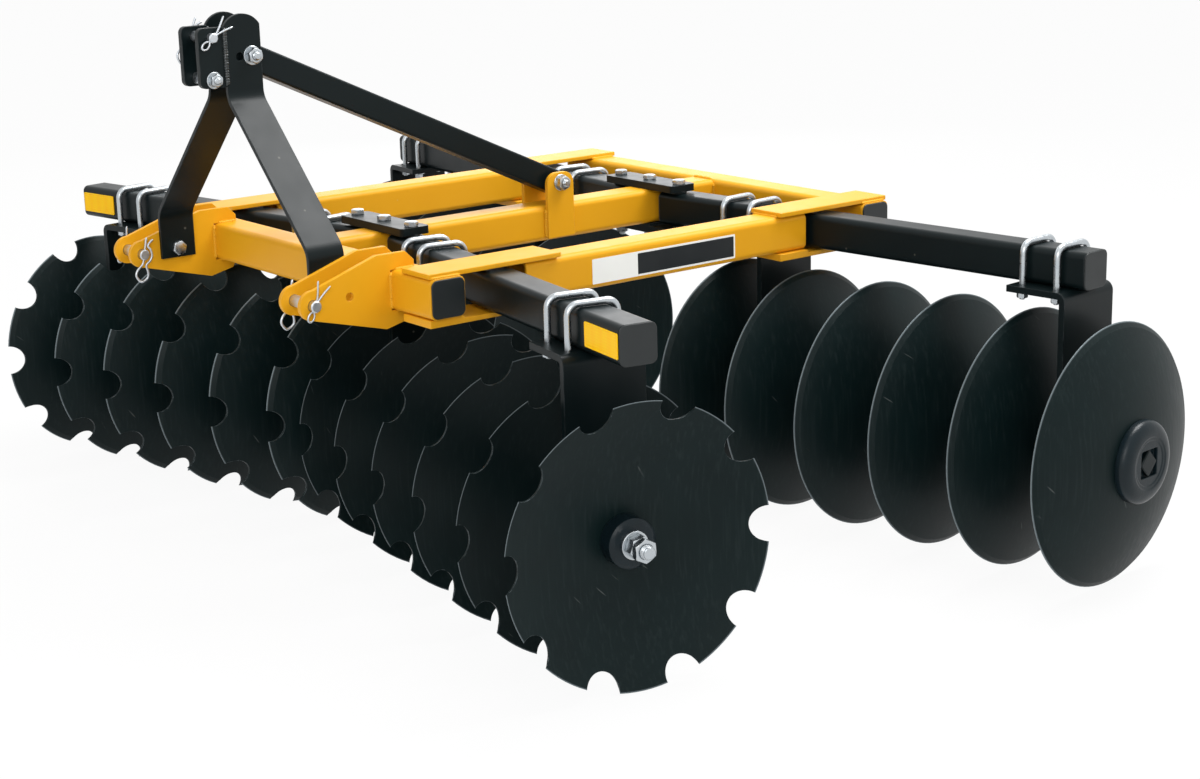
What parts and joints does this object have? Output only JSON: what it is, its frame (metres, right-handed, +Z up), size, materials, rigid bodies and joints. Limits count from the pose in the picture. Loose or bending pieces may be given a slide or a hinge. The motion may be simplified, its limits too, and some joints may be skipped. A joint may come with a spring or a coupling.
{
  "type": "disc harrow",
  "caption": "Three-point-hitch tandem disc harrow: box frame of square tube, braced mast, and front and rear gangs of dished discs whose angle can be set.",
  "frame": {"origin": "on the ground, midway across the machine and midway between its foremost and rearmost discs", "axes": "+X to the machine's left side, -Y forwards to the tractor, +Z up"},
  "size_m": [2.6128, 1.4927, 1.098],
  "materials": {
    "yellow_paint": "gloss golden yellow paint",
    "black_paint": "semi-gloss black paint",
    "blade_paint": "satin black paint on pressed steel blades",
    "cast_iron_paint": "black paint on rough castings",
    "axle_steel": "bare and zinc-plated steel",
    "zinc_plate": "bright zinc plate",
    "black_plastic": "moulded black end caps"
  },
  "bodies": {
    "frame": {"front_crossbar": "yellow_paint", "rear_crossbar": "yellow_paint", "left_side_tube": "yellow_paint", "right_side_tube": "yellow_paint", "centre_tube": "yellow_paint", "crossbar_end_plugs": "black_plastic", "front_corner_plates": "yellow_paint", "rear_corner_plates": "yellow_paint", "front_pivot_plates": "black_paint", "rear_pivot_plates": "black_paint", "pivot_bolts": "zinc_plate", "left_hitch_bracket": "yellow_paint", "right_hitch_bracket": "yellow_paint", "lower_hitch_pins": "zinc_plate", "left_mast_bar": "black_paint", "right_mast_bar": "black_paint", "top_link_clevis": "black_paint", "top_link_pin": "zinc_plate", "mast_brace": "black_paint", "brace_lugs": "yellow_paint"},
    "left_front_gang_beam": {"left_front_beam": "black_paint", "left_front_beam_caps": "black_plastic", "left_front_hangers": "black_paint", "left_front_u_bolts": "zinc_plate", "left_front_bearings": "cast_iron_paint"},
    "left_front_disc_gang": {"left_front_discs": "blade_paint", "left_front_spools": "cast_iron_paint", "left_front_axle": "axle_steel"},
    "right_front_gang_beam": {"right_front_beam": "black_paint", "right_front_beam_caps": "black_plastic", "right_front_hangers": "black_paint", "right_front_u_bolts": "zinc_plate", "right_front_bearings": "cast_iron_paint"},
    "right_front_disc_gang": {"right_front_discs": "blade_paint", "right_front_spools": "cast_iron_paint", "right_front_axle": "axle_steel"},
    "left_rear_gang_beam": {"left_rear_beam": "black_paint", "left_rear_beam_caps": "black_plastic", "left_rear_hangers": "black_paint", "left_rear_u_bolts": "zinc_plate", "left_rear_bearings": "cast_iron_paint"},
    "left_rear_disc_gang": {"left_rear_discs": "blade_paint", "left_rear_spools": "cast_iron_paint", "left_rear_axle": "axle_steel"},
    "right_rear_gang_beam": {"right_rear_beam": "black_paint", "right_rear_beam_caps": "black_plastic", "right_rear_hangers": "black_paint", "right_rear_u_bolts": "zinc_plate", "right_rear_bearings": "cast_iron_paint"},
    "right_rear_disc_gang": {"right_rear_discs": "blade_paint", "right_rear_spools": "cast_iron_paint", "right_rear_axle": "axle_steel"}
  },
  "joints": [
    {"name": "left_front_gang_angle", "type": "hinge", "parent": "frame", "child": "left_front_gang_beam", "pos_m": [0.1016, -0.3202, 0.5989], "axis": [0, 0, -1], "range_deg": [0, 5]},
    {"name": "left_front_disc_spin", "type": "hinge", "parent": "left_front_gang_beam", "child": "left_front_disc_gang", "pos_m": [0.09919, -0.33399, 0.254], "axis": [0.985, -0.1724, 0], "continuous": true},
    {"name": "right_front_gang_angle", "type": "hinge", "parent": "frame", "child": "right_front_gang_beam", "pos_m": [-0.1016, -0.3202, 0.5989], "axis": [0, 0, 1], "range_deg": [0, 5]},
    {"name": "right_front_disc_spin", "type": "hinge", "parent": "right_front_gang_beam", "child": "right_front_disc_gang", "pos_m": [-0.09919, -0.33399, 0.254], "axis": [-0.985, -0.1724, 0], "continuous": true},
    {"name": "left_rear_gang_angle", "type": "hinge", "parent": "frame", "child": "left_rear_gang_beam", "pos_m": [0.1016, 0.3825, 0.5989], "axis": [0, 0, 1], "range_deg": [0, 8]},
    {"name": "left_rear_disc_spin", "type": "hinge", "parent": "left_rear_gang_beam", "child": "left_rear_disc_gang", "pos_m": [0.1014, 0.38449, 0.254], "axis": [0.9952, 0.0976, 0], "continuous": true},
    {"name": "right_rear_gang_angle", "type": "hinge", "parent": "frame", "child": "right_rear_gang_beam", "pos_m": [-0.1016, 0.3825, 0.5989], "axis": [0, 0, -1], "range_deg": [0, 8]},
    {"name": "right_rear_disc_spin", "type": "hinge", "parent": "right_rear_gang_beam", "child": "right_rear_disc_gang", "pos_m": [-0.1014, 0.38449, 0.254], "axis": [-0.9952, 0.0976, 0], "continuous": true}
  ]
}
